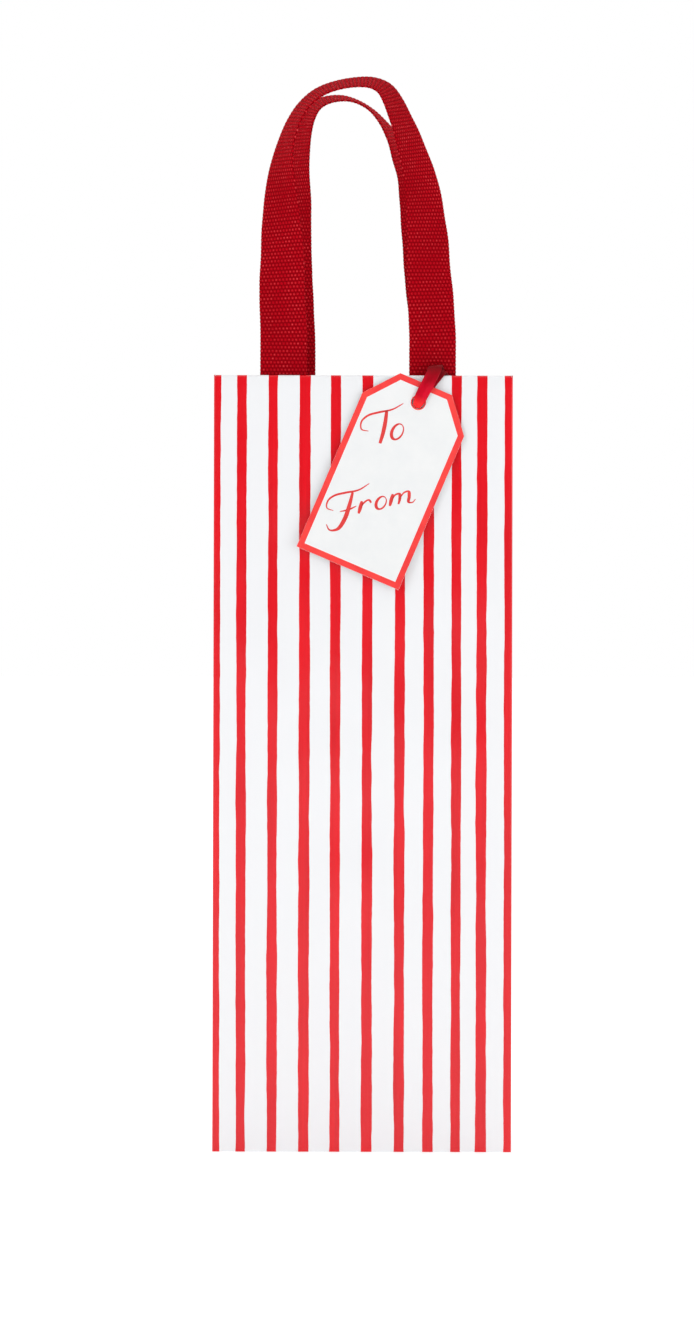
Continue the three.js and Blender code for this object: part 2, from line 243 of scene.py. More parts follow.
def webbing_material():
    """Dark red woven polypropylene webbing; the weave itself is in the mesh, and its colour carries painted
    shade in the weave's valleys and painted highlights on its crowns.
    """
    m = Nodes("red_webbing")
    hair = m.noise((5200, 420, 1), 3.0, 0.6, uv=True)
    patch = m.noise((160, 90, 1), 3.0, 0.6, uv=True)
    thread = m.noise((420, 900, 1), 2.0, 0.6, uv=True)
    height = m.node("ShaderNodeAttribute", attribute_name="weave").outputs["Fac"]
    # Painted shade: the colour darkens from the weave's crowns down into its valleys.
    tone = m.mix(m.ramp(height, 0.3, 0.8), (0.20, 0.0006, 0.0035), (0.49, 0.0021, 0.0092))
    # Painted highlights on the thread crowns, shown in irregular patches along the strap.
    highlight_patches = m.math("MULTIPLY", m.ramp(patch, 0.38, 0.62, low=0.15), m.ramp(thread, 0.4, 0.6))
    crown = m.math("MULTIPLY", m.ramp(height, 0.8, 0.98), highlight_patches)
    tone = m.mix(m.math("MULTIPLY", crown, 0.9), tone, (0.90, 0.10, 0.11))
    slow = m.noise((30, 24, 1), 2.0, 0.5, uv=True)
    tone = m.mix(m.ramp(slow, 0.38, 0.64, high=0.30), tone, (0.23, 0.0006, 0.0035))
    tone = m.mix(m.ramp(hair, 0.3, 0.75, high=0.35), tone, (0.26, 0.0006, 0.0045))
    m.drive("Base Color", tone)
    m.drive("Roughness", m.math("MULTIPLY_ADD", hair, 0.18, 0.42))
    m.drive("Normal", m.bump(hair, 0.00006, 0.8))
    m.set(Specular_IOR_Level=0.04, IOR=1.2)
    return m.mat


# Along the ribbon, in mm: the middle of its fold in the tag's hole, where a highlight is painted, and how far
# the mouth's edge, where shade is painted, lies from it.
SATIN_FOLD = 59
SATIN_SPAN = 21


def satin_material():
    """Crimson satin: fine cross threads, a painted highlight at the ribbon's fold in the hole and painted
    shade over the mouth.
    """
    m = Nodes("red_satin")
    weft = m.noise((250, 9000, 1), 2.0, 0.6, uv=True)
    cloud = m.ramp(m.noise((300, 120, 1), 2.0, 0.5, uv=True), 0.35, 0.7)
    parts = m.node("ShaderNodeSeparateXYZ")
    m.link(m.node("ShaderNodeUVMap", uv_map="UVMap").outputs[0], parts.inputs[0])
    away = m.math("MULTIPLY_ADD", parts.outputs[1], 1 / (MM * SATIN_SPAN), -SATIN_FOLD / SATIN_SPAN)
    away = m.math("ABSOLUTE", away)
    tone = m.mix(cloud, (0.66, 0.0010, 0.022), (0.44, 0.0006, 0.012))
    # Painted shade: the ribbon darkens away from the fold, over the mouth and inside the bag.
    tone = m.mix(m.ramp(away, 0.42, 0.88, high=0.92), tone, (0.16, 0.0003, 0.002))
    # Painted highlight: the ribbon turns bright orange-red where it folds into the hole.
    tone = m.mix(m.ramp(away, 0.06, 0.22, low=0.85, high=0.0), tone, (0.92, 0.024, 0.024))
    m.drive("Base Color", tone)
    m.drive("Roughness", m.math("MULTIPLY_ADD", weft, 0.12, 0.24))
    m.drive("Normal", m.bump(weft, 0.00003, 0.6))
    m.set(Anisotropic=0.6, Specular_IOR_Level=0.12)
    return m.mat


def printed_card(name, colour, colour2):
    """Smooth tag card or its print."""
    m = Nodes(name)
    cloud = m.ramp(m.noise((120, 120, 120), 3.0, 0.6), 0.35, 0.65)
    fibre = m.noise((1800, 1800, 1800), 2.0, 0.6)
    m.drive("Base Color", m.mix(cloud, colour, colour2))
    m.drive("Roughness", m.math("MULTIPLY_ADD", fibre, 0.1, 0.42))
    m.drive("Normal", m.bump(fibre, 0.00002, 0.5))
    m.set(Specular_IOR_Level=0.4)
    return m.mat


# Stripe centres and widths on each face, in mm from the face's lower-numbered edge.
FRONT_STRIPES = [
    (1.3, 3.2), (11.9, 4.15), (25.2, 4.15), (38.7, 4.55), (51.8, 4.25), (65.4, 4.4),
    (79.2, 4.45), (91.4, 4.45), (103.2, 4.1), (114.0, 4.4), (125.5, 3.85),
]
BACK_STRIPES = [
    (1.2, 3.4), (13.4, 4.3), (25.2, 3.9), (38.0, 4.4), (51.3, 4.0), (63.9, 4.4),
    (77.0, 4.0), (89.2, 4.3), (101.9, 3.8), (114.6, 4.2), (126.0, 3.4),
]
SIDE_STRIPES = [(10.2, 4.1), (22.6, 4.4), (35.4, 3.9), (48.6, 4.3), (61.0, 4.0), (73.9, 4.4)]
front_print = striped_paper("striped_paper_front", 0, [(c - HALF_W, w) for c, w in FRONT_STRIPES])
back_print = striped_paper("striped_paper_back", 0, [(c - HALF_W, w) for c, w in BACK_STRIPES])
side_print = striped_paper("striped_paper_side", 1, [(c - HALF_D, w) for c, w in SIDE_STRIPES])
inside_paper = plain_paper("paper_inside", (0.80, 0.79, 0.76), (0.86, 0.85, 0.83), 0.62)
cut_edge = plain_paper("paper_cut_edge", (0.88, 0.88, 0.87), (0.93, 0.93, 0.92), 0.7)
board_grey = plain_paper("grey_board", (0.42, 0.38, 0.32), (0.55, 0.51, 0.45), 0.78, 2.5)
webbing = webbing_material()
satin = satin_material()
card_white = printed_card("tag_card_white", (0.80, 0.815, 0.82), (0.83, 0.84, 0.84))
card_border = printed_card("tag_border_ink", (0.94, 0.052, 0.044), (0.84, 0.034, 0.036))
card_script = printed_card("tag_script_ink", (0.78, 0.05, 0.045), (0.66, 0.03, 0.03))


# ---------------------------------------------------------------- mesh helpers
WELD = 0.00002


def new_piece(name, points, faces, materials, uvs=None, smooth=True):
    mesh = bpy.data.meshes.new(name)
    mesh.from_pydata([tuple(p) for p in points], [], faces)
    for material in materials:
        mesh.materials.append(material)
    if uvs is not None:
        layer = mesh.uv_layers.new(name="UVMap")
        corners = np.zeros(len(mesh.loops), np.int32)
        mesh.loops.foreach_get("vertex_index", corners)
        layer.data.foreach_set("uv", np.asarray(uvs, np.float32)[corners].ravel())
    mesh.polygons.foreach_set("use_smooth", [smooth] * len(mesh.polygons))
    mesh.update()
    piece = bpy.data.objects.new(name, mesh)
    scene.collection.objects.link(piece)
    return piece


def grid_faces(rows, columns, start=0):
    """Faces of a grid of points, given row by row from the point numbered start."""
    corners = (0, 1, columns + 1, columns)
    return [
        tuple(start + i * columns + j + corner for corner in corners)
        for i in range(rows - 1)
        for j in range(columns - 1)
    ]


def weld(piece):
    bm = bmesh.new()
    bm.from_mesh(piece.data)
    bmesh.ops.remove_doubles(bm, verts=bm.verts, dist=WELD)
    bmesh.ops.dissolve_degenerate(bm, dist=WELD / 4, edges=bm.edges)
    bm.to_mesh(piece.data)
    bm.free()


def thicken(piece, thickness, slot_step):
    """Gives a sheet its thickness, on the side away from its printed face."""
    solid = piece.modifiers.new("thickness", "SOLIDIFY")
    solid.thickness = thickness
    solid.offset = -1
    solid.material_offset = slot_step
    solid.material_offset_rim = slot_step + 1 if slot_step else 0
    dg = bpy.context.evaluated_depsgraph_get()
    made = bpy.data.meshes.new_from_object(piece.evaluated_get(dg), depsgraph=dg)
    piece.modifiers.remove(solid)
    old = piece.data
    piece.data = made
    bpy.data.meshes.remove(old)


def face_front(bm):
    """Turns the faces of an open sheet towards the front, if most of it looks to the back."""
    if sum(f.normal.y * f.calc_area() for f in bm.faces) > 0:
        bmesh.ops.reverse_faces(bm, faces=bm.faces)


# ---------------------------------------------------------------- paper panels
# Each face's own frame: u across, seen from outside, n inwards and z up, all in mm.
FACES = {
    "front": lambda u, n, z: (u, -HALF_D + n, z),
    "back": lambda u, n, z: (-u, HALF_D - n, z),
    "left": lambda u, n, z: (-HALF_W + n, -u, z),
    "right": lambda u, n, z: (HALF_W - n, u, z),
}
WAVE_SEED = {"front": 3.1, "back": 11.7, "left": 23.3, "right": 37.9}
WAVE_WIDE = 0.55
WAVE_SIDE = 0.4
# The wave grows to its full height over this far from the side creases, the top boards and the foot.
SIDE_FADE = 12
TOP_FADE = 25
FOOT_FADE = 20
TOP_GAP = 2
COLUMN_PAIR = 6.4
ROW_STEP = 4.5
HEM_ROWS = 8
HEM_BENDS = [math.radians(a) for a in (0, 25, 50, 75, 105, 130, 155, 180)]

# A rounded corner: how far in from the corner each point lies, sideways and in depth.
ROUND = [
    (CORNER * (1 - math.sin(a)), CORNER * (1 - math.cos(a)))
    for a in [math.radians(a) for a in (90, 72, 54, 36, 18)]
]


def fade(distance, length):
    """From 0 at no distance to 1 at the length."""
    return min(1.0, max(0.0, distance / length))


def paper_wave(face, u, z, amount):
    """A gentle unevenness, in mm, that dies out at the creases and at the stiffened top."""
    seed = WAVE_SEED[face]
    half = HALF_W if face in ("front", "back") else HALF_D
    side = fade(half - abs(u), SIDE_FADE)
    top = fade(HEM_LOW - TOP_GAP - z, TOP_FADE)
    low = fade(z - FOOT_TOP, FOOT_FADE)
    wave = noise.noise(Vector((u / 46 + seed, z / 60, seed)))
    wave += 0.4 * noise.noise(Vector((u / 17 + seed, z / 30, 2 * seed)))
    return amount * wave * side * side * top * low


def paper_panel(name, face, body, nodes, print_material, span, low_edge, high_edge, rolls=(False, False),
                hemmed=False, amount=WAVE_WIDE, roll_low=False):
    """One creased panel.

    span is (u0, u1) in mm across the face seen from outside, low_edge and high_edge give z at u, rolls says
    which side edges bend round the corner, hemmed that the top is folded in, and roll_low that the lower edge
    bends under.
    """
    u0, u1 = span
    columns = []
    if rolls[0]:
        columns += [(u0 + aside, depth) for aside, depth in ROUND]
    start = u0 + (CORNER if rolls[0] else 0)
    stop = u1 - (CORNER if rolls[1] else 0)
    # The number of columns is even, so that a panel across the whole side has one on its middle crease.
    steps = 2 * max(1, round((stop - start) / COLUMN_PAIR))
    columns += [(start + (stop - start) * i / steps, 0.0) for i in range(steps + 1)]
    if rolls[1]:
        columns += [(u1 - aside, depth) for aside, depth in reversed(ROUND)]
    tall = max(high_edge(u) - low_edge(u) for u, _ in columns)
    rows = max(3, round(tall / ROW_STEP))
    turn = HEM_DEPTH[face] / 2 if hemmed else 0.0
    grid = []
    for i in range(rows + 1):
        for u, depth in columns:
            z0, z1 = low_edge(u), high_edge(u)
            if roll_low:
                z0 += CORNER
            if hemmed and depth == 0.0:
                z1 -= turn
            z = z0 + (z1 - z0) * i / rows
            grid.append((u, depth + paper_wave(face, u, z, amount), z))
    faces = grid_faces(rows + 1, len(columns))
    if roll_low:
        base = len(grid)
        low_rows = [(depth, rise) for rise, depth in ROUND] + [(0.0, CORNER)]
        for n, rise in low_rows:
            for u, depth in columns:
                grid.append((u, max(depth, n), low_edge(u) + rise))
        faces += grid_faces(len(low_rows), len(columns), base)
    if hemmed:
        flat = [u for u, depth in columns if depth == 0.0]
        base = len(grid)
        for a in HEM_BENDS:
            for u in flat:
                grid.append((u, turn * (1 - math.cos(a)), high_edge(u) - turn + turn * math.sin(a)))
        limit = HEM_REACH[face]
        for i in range(1, HEM_ROWS + 1):
            for u in [max(min(v, limit), -limit) for v in flat]:
                top = high_edge(u) - turn
                grid.append((u, 2 * turn, top - (top - HEM_LOW) * i / HEM_ROWS))
        faces += grid_faces(len(HEM_BENDS) + HEM_ROWS, len(flat), base)
    points = [Vector(FACES[face](u, n, z)) * MM for u, n, z in grid]
    piece = new_piece(name, points, faces, [print_material, inside_paper, cut_edge])
    weld(piece)
    thicken(piece, PAPER * MM, 1)
    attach(piece, body)
    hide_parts(*nodes)


def level(z):
    """A straight edge at one height."""
    return lambda u: z


def slope(u):
    """The diagonal crease from the middle of a gusset down to each corner."""
    return FOOT_TOP - abs(u)


def heel_line(u):
    """The crease that parts the heel, from the middle of a gusset to the back panel's lower fold."""
    return FOOT_TOP - (FOOT_TOP - BACK_FOLD) * abs(u) / (HALF_D - PAPER)


FULL = (-HALF_W, HALF_W)
BOTH = (True, True)
paper_panel("front_wrapper", "front", "front", ["front_panel", "front_hem"], front_print,
            FULL, level(0.0), level(HEIGHT), BOTH, hemmed=True, roll_low=True)
paper_panel("back_wrapper", "back", "back", ["back_panel", "back_hem"], back_print,
            FULL, level(FOOT_TOP), level(HEIGHT), BOTH, hemmed=True)
paper_panel("back_foot_strip_upper", "back", "back_foot_upper", ["back_foot_upper"], back_print,
            FULL, level(BACK_FOLD), level(FOOT_TOP), BOTH)
paper_panel("back_foot_strip_lower", "back", "back_foot_lower", ["back_foot_lower"], back_print,
            FULL, level(CREASE_Z), level(BACK_FOLD), BOTH)

# Seen from outside, a gusset's front half is on the right of the left side and on the left of the right side.
for word, front_span, back_span in (
    ("left", (0.0, REACH), (-REACH, 0.0)),
    ("right", (-REACH, 0.0), (0.0, REACH)),
):
    paper_panel(word + "_gusset_front_sheet", word, word + "_gusset_front",
                [word + "_gusset_front_half", word + "_gusset_front_hem"], side_print,
                front_span, slope, level(HEIGHT), hemmed=True, amount=WAVE_SIDE)
    paper_panel(word + "_gusset_back_sheet", word, word + "_gusset_back",
                [word + "_gusset_back_half", word + "_gusset_back_hem"], side_print,
                back_span, level(FOOT_TOP), level(HEIGHT), hemmed=True, amount=WAVE_SIDE)
    paper_panel(word + "_foot_sheet", word, word + "_foot", [word + "_foot_triangle"], side_print,
                (-REACH, REACH), level(CREASE_Z), slope)
    paper_panel(word + "_heel_lower_sheet", word, word + "_heel_lower", [word + "_heel_lower"], side_print,
                back_span, slope, heel_line)
    paper_panel(word + "_heel_upper_sheet", word, word + "_heel_upper", [word + "_heel_upper"], side_print,
                back_span, heel_line, level(FOOT_TOP))

# The inner cards, patches and flaps keep their CAD shape and get their own finish.
FINISH = {
    "front_top_board": board_grey, "back_top_board": board_grey, "base_card": board_grey,
    "base_front_flap": front_print, "base_back_flap": back_print,
    "base_left_dust_flap": inside_paper, "base_right_dust_flap": inside_paper,
    "side_seam_flap": inside_paper,
    "front_left_strap_patch": inside_paper, "front_right_strap_patch": inside_paper,
    "back_left_strap_patch": inside_paper, "back_right_strap_patch": inside_paper,
}
for node, material in FINISH.items():
    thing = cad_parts[node]
    thing.data.materials.clear()
    thing.data.materials.append(material)

# ---------------------------------------------------------------- webbing handles
# The centre line of each loop above the mouth: x, z and how far the webbing has turned edge-on, in degrees.
FRONT_HANDLE_LINE = [
    (-34, 340, 0), (-34, 347, 2), (-34.3, 360, 10), (-34.8, 379, 20), (-35.3, 396, 35), (-35.5, 408, 47),
    (-34.9, 418, 58), (-33.2, 428.5, 67), (-30, 438, 70), (-25.6, 445.2, 71), (-19.5, 450.5, 71),
    (-10.5, 454, 71), (-2, 455.2, 70), (4, 454.6, 68), (8.8, 452.2, 65), (12.8, 446.8, 62), (16.5, 438, 58),
    (20.2, 428, 52), (23.5, 416, 45), (25.7, 404, 38), (27.2, 389, 29), (28.1, 371, 18), (29, 354, 7),
    (29.4, 346, 1), (29.4, 340, 0),
]
BACK_HANDLE_LINE = [
    (-31.1, 340, 0), (-31.1, 347, 1), (-31.4, 360, 6), (-32, 380, 17), (-31.9, 395, 27), (-31.2, 408, 38),
    (-30.3, 422, 50), (-29.1, 434, 59), (-27.7, 443, 63), (-25.4, 451, 66), (-22, 456.4, 69),
    (-17, 459.4, 72), (-10, 460.5, 75), (-3, 459.1, 79), (3.6, 455.4, 80), (8.8, 449.9, 77),
    (13.2, 442.6, 70), (17.3, 434, 61), (21, 425.5, 52), (23.7, 415, 42), (25.7, 402, 32), (27.6, 386, 20),
    (29.9, 366, 9), (30.9, 352, 3), (31, 346, 1), (31, 340, 0),
]
BEND_Z = 340.0

# The weave: its rows along the strap, its columns across, and the points that each of them gets.
ROW_PITCH = 1.6
COLUMNS = 13
STEPS = 4
WEAVE_DEPTH = 0.22
THREAD_ROUNDNESS = 0.6
EDGE_SCALLOP = 0.018

# How far the strap strays from its line, from where above the mouth, and over what height it grows.
STRAY = 0.45
STRAY_FROM = 6
STRAY_GROWTH = 25


def smooth_line(points, spacing):
    """Points at an even spacing along a Catmull-Rom curve through the given rows of numbers."""
    p = np.array(points, float)
    p = np.vstack([2 * p[0] - p[1], p, 2 * p[-1] - p[-2]])
    t = np.linspace(0, 1, 40, endpoint=False)[:, None]
    out = []
    for a, b, c, d in zip(p, p[1:], p[2:], p[3:]):
        k0, k1, k2 = [np.linalg.norm((stop - start)[:3]) ** 0.5 for start, stop in ((a, b), (b, c), (c, d))]
        m1 = k1 * ((b - a) / k0 - (c - a) / (k0 + k1) + (c - b) / k1)
        m2 = k1 * ((c - b) / k1 - (d - b) / (k1 + k2) + (d - c) / k2)
        out.append(
            (2 * t**3 - 3 * t**2 + 1) * b + (t**3 - 2 * t**2 + t) * m1
            + (-2 * t**3 + 3 * t**2) * c + (t**3 - t**2) * m2
        )
    out = np.vstack(out + [p[-2][None]])
    steps = np.linalg.norm(np.diff(out[:, :3], axis=0), axis=1)
    s = np.concatenate([[0], np.cumsum(steps)])
    even = np.linspace(0, s[-1], int(round(s[-1] / spacing)) + 1)
    return even, np.stack([np.interp(even, s, out[:, k]) for k in range(out.shape[1])], axis=1)


def thread_bump(turns):
    """The rounded height of threads, one to each half turn."""
    return np.abs(np.sin(np.pi * turns)) ** THREAD_ROUNDNESS


def handle(name, nodes, loop):
    """A woven strap from one glued end, up over its loop and down to the other.

    nodes are its CAD nodes, the loop first.
    """
    lo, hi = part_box(nodes[1])
    centre_y = (lo[1] + hi[1]) / 2 / MM
    half_w = (hi[0] - lo[0]) / 2 / MM
    half_t = (hi[1] - lo[1]) / 2 / MM
    low = lo[2] / MM
    start = [(loop[0][0], low + k * (BEND_Z - low) / 3, 0) for k in range(3)]
    stop = [(loop[-1][0], z, 0) for _, z, _ in reversed(start)]
    rows = [(x, centre_y, z, turn) for x, z, turn in start + loop + stop]
    s, line = smooth_line(rows, ROW_PITCH / STEPS)
    along = np.gradient(line[:, :3], axis=0)
    along[:, 1] = 0
    along /= np.linalg.norm(along, axis=1)[:, None]
    across = np.array([0.0, 1.0, 0.0])
    inward = np.cross(across, along)
    turn = np.radians(line[:, 3])[:, None]
    wide = np.cos(turn) * inward - np.sin(turn) * across
    out = np.cross(along, wide)
    # Above the mouth the strap strays a little from a perfect curve, as soft webbing does.
    free = np.clip((line[:, 2] - BEND_Z - STRAY_FROM) / STRAY_GROWTH, 0, 1)
    stray = np.array([
        noise.noise(Vector((d / 13, 7.0, centre_y))) + 0.6 * noise.noise(Vector((d / 31, 2.0, centre_y)))
        for d in s
    ])
    line[:, :3] += inward * (STRAY * free * stray)[:, None]
    # One trip round the section: along one face and back along the other.
    w_face = np.linspace(-1, 1, COLUMNS * STEPS + 1) * half_w
    trip = [(w, 1.0) for w in w_face] + [(w, -1.0) for w in w_face[::-1]]
    row = np.arange(len(s)) / STEPS
    row_index = np.floor(row)
    row_bump = thread_bump(row - row_index)
    points, weave, uvs = [], [], []
    for w, face in trip:
        share = abs(w) / half_w
        bump = row_bump * thread_bump(w / half_w * COLUMNS / 2 + 0.5 * (row_index % 2))
        edge = max(0.0, 1 - share**10) ** 0.5
        scallop = 1 - EDGE_SCALLOP * (1 - row_bump) * share**6
        height = (half_t * (0.25 + 0.75 * edge) - WEAVE_DEPTH * (1 - bump) * edge) * face
        points.append(line[:, :3] + wide * (w * scallop)[:, None] + out * height[:, None])
        weave.append(0.25 + 0.75 * bump)
        uvs.append(np.stack([np.full(len(s), (w + half_w) * MM), s * MM], axis=1))
    ring = len(trip)
    points = np.stack(points, axis=1).reshape(-1, 3) * MM
    weave = np.stack(weave, axis=1).reshape(-1)
    uvs = np.stack(uvs, axis=1).reshape(-1, 2)
    n = len(s)
    faces = [
        (i * ring + j, i * ring + (j + 1) % ring, (i + 1) * ring + (j + 1) % ring, (i + 1) * ring + j)
        for i in range(n - 1)
        for j in range(ring)
    ]
    faces.append(tuple(range(ring - 1, -1, -1)))
    faces.append(tuple((n - 1) * ring + j for j in range(ring)))
    piece = new_piece(name, points, faces, [webbing], uvs=uvs)
    attribute = piece.data.attributes.new("weave", "FLOAT", "POINT")
    attribute.data.foreach_set("value", weave.astype(np.float32))
    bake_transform(piece)
    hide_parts(*nodes)


handle("front_handle_strap",
       ["front_handle_loop", "front_left_strap_end", "front_right_strap_end"], FRONT_HANDLE_LINE)
handle("back_handle_strap",
       ["back_handle_loop", "back_left_strap_end", "back_right_strap_end"], BACK_HANDLE_LINE)

# ---------------------------------------------------------------- gift tag
# On the tag, u runs across and d down from the middle of the hole, in mm.
HOLE = Vector((23.3, -45.7, 318.3))
TILT = math.radians(23)
RIGHT = Vector((math.cos(TILT), 0, -math.sin(TILT)))
DOWN = Vector((-math.sin(TILT), 0, -math.cos(TILT)))
TAG_HALF = 23.5
TAG_TOP = -8.5
TAG_LOW = 76.5
TAG_THICK = 0.6
CUT_ACROSS = 11.6
CUT_DOWN = 14
BORDER = 2.6
HOLE_RADIUS = 2.75
HOLE_RING = 0.5
HOLE_SIDES = 40
GRID_ACROSS = 9.0
GRID_DOWN = 7
BOW = 1.3
CURL = 0.35
CARD_MIDDLE = Vector((0, 30, 0))
TAG_OUTLINE = [
    (-TAG_HALF, TAG_LOW), (TAG_HALF, TAG_LOW),
    (TAG_HALF, TAG_TOP + CUT_DOWN), (TAG_HALF - CUT_ACROSS, TAG_TOP),
    (-TAG_HALF + CUT_ACROSS, TAG_TOP), (-TAG_HALF, TAG_TOP + CUT_DOWN),
]


def tag_point(u, d, off=0.0):
    """A point off mm off the card's face. The card bows off the panel, and its lower corners curl."""
    low = max(0.0, d) / TAG_LOW
    bow = BOW * low * low + CURL * (u / TAG_HALF) ** 2 * low
    return (HOLE + RIGHT * u + DOWN * d + Vector((0, -bow - off, 0))) * MM


def tag_piece():
    """The card: its outline and hole filled, cut along the printed border and a grid, and then bowed."""
    bm = bmesh.new()
    turns = [2 * math.pi * i / HOLE_SIDES for i in range(HOLE_SIDES)]
    rim, hole = [
        [bm.verts.new((r * math.cos(a), r * math.sin(a), 0)) for a in turns]
        for r in (HOLE_RADIUS, HOLE_RADIUS + HOLE_RING)
    ]
    corners = [bm.verts.new((u, d, 0)) for u, d in TAG_OUTLINE]
    edges = [bm.edges.new((hole[i - 1], hole[i])) for i in [*range(1, HOLE_SIDES), 0]]
    edges += [bm.edges.new((corners[i - 1], corners[i])) for i in [*range(1, len(corners)), 0]]
    bmesh.ops.triangle_fill(bm, use_beauty=True, use_dissolve=False, edges=edges)
    for f in list(bm.faces):
        if all(v in hole for v in f.verts):
            bm.faces.remove(f)
    for i in [*range(1, HOLE_SIDES), 0]:
        bm.faces.new((rim[i - 1], rim[i], hole[i], hole[i - 1]))

    def cut(point, normal):
        everything = list(bm.verts) + list(bm.edges) + list(bm.faces)
        bmesh.ops.bisect_plane(bm, geom=everything, plane_co=point, plane_no=normal, dist=1e-5)

    sides = []
    for first, second in zip(TAG_OUTLINE, TAG_OUTLINE[1:] + TAG_OUTLINE[:1]):
        a, b = Vector((*first, 0)), Vector((*second, 0))
        along = (b - a).normalized()
        normal = Vector((-along.y, along.x, 0))
        if (CARD_MIDDLE - a).dot(normal) < 0:
            normal.negate()
        sides.append((a, normal))
        cut(a + normal * BORDER, normal)
    for k in range(1, 12):
        cut(Vector((0, TAG_TOP + k * GRID_DOWN, 0)), Vector((0, 1, 0)))
    for k in range(-2, 3):
        cut(Vector((k * GRID_ACROSS, 0, 0)), Vector((1, 0, 0)))
    for f in bm.faces:
        centre = f.calc_center_median()
        inside = min((centre - a).dot(normal) for a, normal in sides)
        printed = inside < BORDER - 1e-4 or centre.length < HOLE_RADIUS + HOLE_RING * 0.9
        f.material_index = 1 if printed else 0
    for v in bm.verts:
        v.co = tag_point(v.co.x, v.co.y)
    bm.normal_update()
    face_front(bm)
    mesh = bpy.data.meshes.new("tag_sheet")
    bm.to_mesh(mesh)
    bm.free()
    for material in (card_white, card_border, card_white, cut_edge):
        mesh.materials.append(material)
    piece = bpy.data.objects.new("tag_sheet", mesh)
    scene.collection.objects.link(piece)
    solid = piece.modifiers.new("thickness", "SOLIDIFY")
    solid.thickness = TAG_THICK * MM
    solid.offset = -1
    solid.material_offset = 2
    solid.material_offset_rim = 2
    bevel = piece.modifiers.new("edge", "BEVEL")
    bevel.width = 0.08 * MM
    bevel.segments = 2
    bevel.limit_method = "ANGLE"
    bevel.angle_limit = math.radians(50)
    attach(piece, "tag")
    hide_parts("tag_card")


tag_piece()

# ---------------------------------------------------------------- words on the tag
WORD_STRETCH = 1.14
PEN_STEP = 0.3
PEN_WEIGHT = 1.3
INK_LIFT = 0.03


def pen_stroke(points, faces, stroke, middle, start_width, mid_width, end_width):
    """One brush-pen stroke on the tag: x right and z up in mm from the hole, as the bag stands."""
    _, line = smooth_line([(middle + (x - middle) * WORD_STRETCH, z, 0) for x, z in stroke], PEN_STEP)
    n = len(line)
    tangent = np.gradient(line[:, :2], axis=0)
    tangent /= np.linalg.norm(tangent, axis=1)[:, None] + 1e-9
    side = np.stack([-tangent[:, 1], tangent[:, 0]], axis=1)
    base = len(points)
    for i in range(n):
        t = i / (n - 1)
        swell = math.sin(math.pi * t) ** 0.8
        width = (start_width * (1 - t) + end_width * t) * (1 - swell) + mid_width * swell
        # Downstrokes are heavier, as with a pen's pressure.
        width *= PEN_WEIGHT * (0.72 + 0.55 * max(0.0, -tangent[i, 1]))
        for k in (-1, 1):
            x, z = line[i, :2] + side[i] * k * width / 2
            offset = Vector((x, 0, z))
            points.append(tag_point(offset.dot(RIGHT), offset.dot(DOWN), INK_LIFT))
    faces += grid_faces(n, 2, base)


def letter_o(x, z, rx, rz, slant):
    """A slanted oval stroke, once round from its upper right."""
    turns = [math.radians(60 + 30 * k) for k in range(13)]
    return [(x + rx * math.cos(a) + slant * rz * math.sin(a), z + rz * math.sin(a)) for a in turns]


# Each stroke's points, and its width at the start, in the middle and at the end.
SCRIPT = {
    "tag_word_to": [
        ([(-20.4, -12.2), (-23.0, -11.4), (-23.0, -8.2), (-20.6, -5.6), (-16.5, -4.2), (-11.6, -3.0),
          (-7.4, -0.4)], 0.3, 0.95, 0.3),
        ([(-13.6, -3.4), (-14.1, -8.0), (-14.9, -12.6), (-16.1, -17.4)], 0.7, 1.05, 0.75),
        (letter_o(-9.6, -12.4, 2.1, 3.3, 0.25), 0.5, 0.85, 0.35),
    ],
    "tag_word_from": [
        ([(-34.0, -46.0), (-36.4, -44.8), (-36.0, -41.8), (-33.6, -39.6), (-29.6, -38.4), (-24.6, -37.2),
          (-20.6, -34.4)], 0.3, 0.95, 0.3),
        ([(-26.8, -38.2), (-28.0, -43.5), (-29.8, -49.6), (-32.4, -53.8), (-35.4, -54.2), (-36.6, -51.8)],
         0.6, 1.15, 0.35),
        ([(-31.6, -46.4), (-28.4, -45.6), (-25.4, -44.0)], 0.3, 0.8, 0.35),
        ([(-23.4, -41.9), (-23.9, -44.4), (-24.6, -47.2)], 0.5, 1.0, 0.5),
        ([(-24.2, -45.4), (-22.6, -42.6), (-20.8, -41.4), (-19.9, -42.6)], 0.3, 0.8, 0.5),
        (letter_o(-16.2, -42.6, 1.8, 2.7, 0.25), 0.5, 0.8, 0.35),
        ([(-11.9, -38.9), (-12.4, -41.2), (-13.0, -44.0)], 0.5, 0.95, 0.5),
        ([(-12.6, -42.2), (-10.9, -39.2), (-9.4, -38.8), (-9.3, -41.0), (-9.8, -43.2)], 0.3, 0.85, 0.45),
        ([(-9.6, -41.2), (-7.6, -38.2), (-6.0, -37.8), (-5.8, -40.0), (-6.0, -42.2), (-4.6, -42.4),
          (-3.4, -41.0)], 0.3, 0.85, 0.3),
    ],
}
for name, strokes in SCRIPT.items():
    points, faces = [], []
    spots = [x for stroke, *_ in strokes for x, _ in stroke]
    for stroke, *widths in strokes:
        pen_stroke(points, faces, stroke, (min(spots) + max(spots)) / 2, *widths)
    word = new_piece(name, points, faces, [card_script], smooth=False)
    bm = bmesh.new()
    bm.from_mesh(word.data)
    bmesh.ops.recalc_face_normals(bm, faces=bm.faces)
    face_front(bm)
    bm.to_mesh(word.data)
    bm.free()
    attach(word, "tag")

